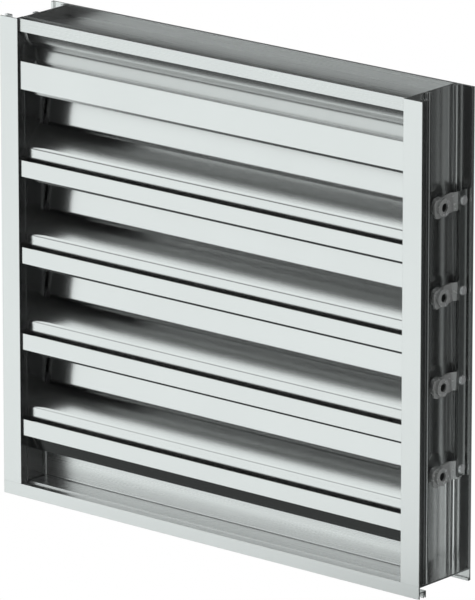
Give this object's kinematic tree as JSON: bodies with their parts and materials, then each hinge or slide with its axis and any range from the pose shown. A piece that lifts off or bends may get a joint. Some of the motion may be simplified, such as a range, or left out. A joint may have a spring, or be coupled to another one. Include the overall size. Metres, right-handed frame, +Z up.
{
  "type": "combination louver damper",
  "caption": "Extruded aluminium louver with fixed rain blades in front and parallel pivoted damper blades behind, driven by cranks and a tie bar at the side.",
  "frame": {"origin": "middle of the sill's base, halfway between the front and rear faces", "axes": "+X across the width towards the jamb with the linkage, +Y from the rain blades to the duct side, +Z up"},
  "size_m": [0.68, 0.1016, 0.628],
  "materials": {
    "frame_aluminium": "mill finish extrusion, satin",
    "blade_aluminium": "mill finish extrusion, satin",
    "zinc_steel": "zinc plated",
    "screw_steel": "stainless, bright",
    "bearing_plastic": "moulded",
    "seal_rubber": "extruded"
  },
  "bodies": {
    "frame": {"jamb_left": "frame_aluminium", "jamb_right": "frame_aluminium", "sill": "frame_aluminium", "head": "frame_aluminium", "head_baffle": "frame_aluminium", "sill_stop": "frame_aluminium", "sill_seal": "seal_rubber", "fixed_blade_1": "blade_aluminium", "fixed_blade_2": "blade_aluminium", "fixed_blade_3": "blade_aluminium", "fixed_blade_4": "blade_aluminium", "fixed_blade_5": "blade_aluminium", "blade_screws_left": "screw_steel", "blade_screws_right": "screw_steel", "head_screws": "screw_steel", "sill_screws": "screw_steel", "bearing_left_1": "bearing_plastic", "bearing_right_1": "bearing_plastic", "bearing_left_2": "bearing_plastic", "bearing_right_2": "bearing_plastic", "bearing_left_3": "bearing_plastic", "bearing_right_3": "bearing_plastic", "bearing_left_4": "bearing_plastic", "bearing_right_4": "bearing_plastic"},
    "damper_1": {"damper_blade_1": "blade_aluminium", "blade_seal_1": "seal_rubber", "drive_axle_1": "zinc_steel", "idle_axle_1": "zinc_steel", "crank_arm_1": "zinc_steel", "crank_screws_1": "screw_steel"},
    "damper_2": {"damper_blade_2": "blade_aluminium", "blade_seal_2": "seal_rubber", "drive_axle_2": "zinc_steel", "idle_axle_2": "zinc_steel", "crank_arm_2": "zinc_steel", "crank_screws_2": "screw_steel"},
    "damper_3": {"damper_blade_3": "blade_aluminium", "blade_seal_3": "seal_rubber", "drive_axle_3": "zinc_steel", "idle_axle_3": "zinc_steel", "crank_arm_3": "zinc_steel", "crank_screws_3": "screw_steel"},
    "damper_4": {"damper_blade_4": "blade_aluminium", "blade_seal_4": "seal_rubber", "drive_axle_4": "zinc_steel", "idle_axle_4": "zinc_steel", "crank_arm_4": "zinc_steel", "crank_screws_4": "screw_steel"},
    "linkage": {"tie_bar": "zinc_steel", "tie_washers": "zinc_steel", "tie_pin_1": "zinc_steel", "tie_pin_2": "zinc_steel", "tie_pin_3": "zinc_steel", "tie_pin_4": "zinc_steel"}
  },
  "joints": [
    {"name": "damper_1_swing", "type": "hinge", "parent": "frame", "child": "damper_1", "pos_m": [0, 0.0072, 0.4831], "axis": [-1, 0, 0], "range_deg": [0, 36]},
    {"name": "damper_2_swing", "type": "hinge", "parent": "frame", "child": "damper_2", "pos_m": [0, 0.0072, 0.3693], "axis": [-1, 0, 0], "range_deg": [0, 36]},
    {"name": "damper_3_swing", "type": "hinge", "parent": "frame", "child": "damper_3", "pos_m": [0, 0.0072, 0.2555], "axis": [-1, 0, 0], "range_deg": [0, 36]},
    {"name": "damper_4_swing", "type": "hinge", "parent": "frame", "child": "damper_4", "pos_m": [0, 0.0072, 0.1417], "axis": [-1, 0, 0], "range_deg": [0, 36]},
    {"name": "tie_bar_pivot", "type": "hinge", "parent": "damper_1", "child": "linkage", "pos_m": [0.3335, 0.03691, 0.48728], "axis": [-1, 0, 0], "range_deg": [-36, 0]}
  ],
  "couplings": [
    {"joint": "damper_2_swing", "follows": "damper_1_swing", "ratio": 1},
    {"joint": "damper_3_swing", "follows": "damper_1_swing", "ratio": 1},
    {"joint": "damper_4_swing", "follows": "damper_1_swing", "ratio": 1},
    {"joint": "tie_bar_pivot", "follows": "damper_1_swing", "ratio": -1}
  ]
}
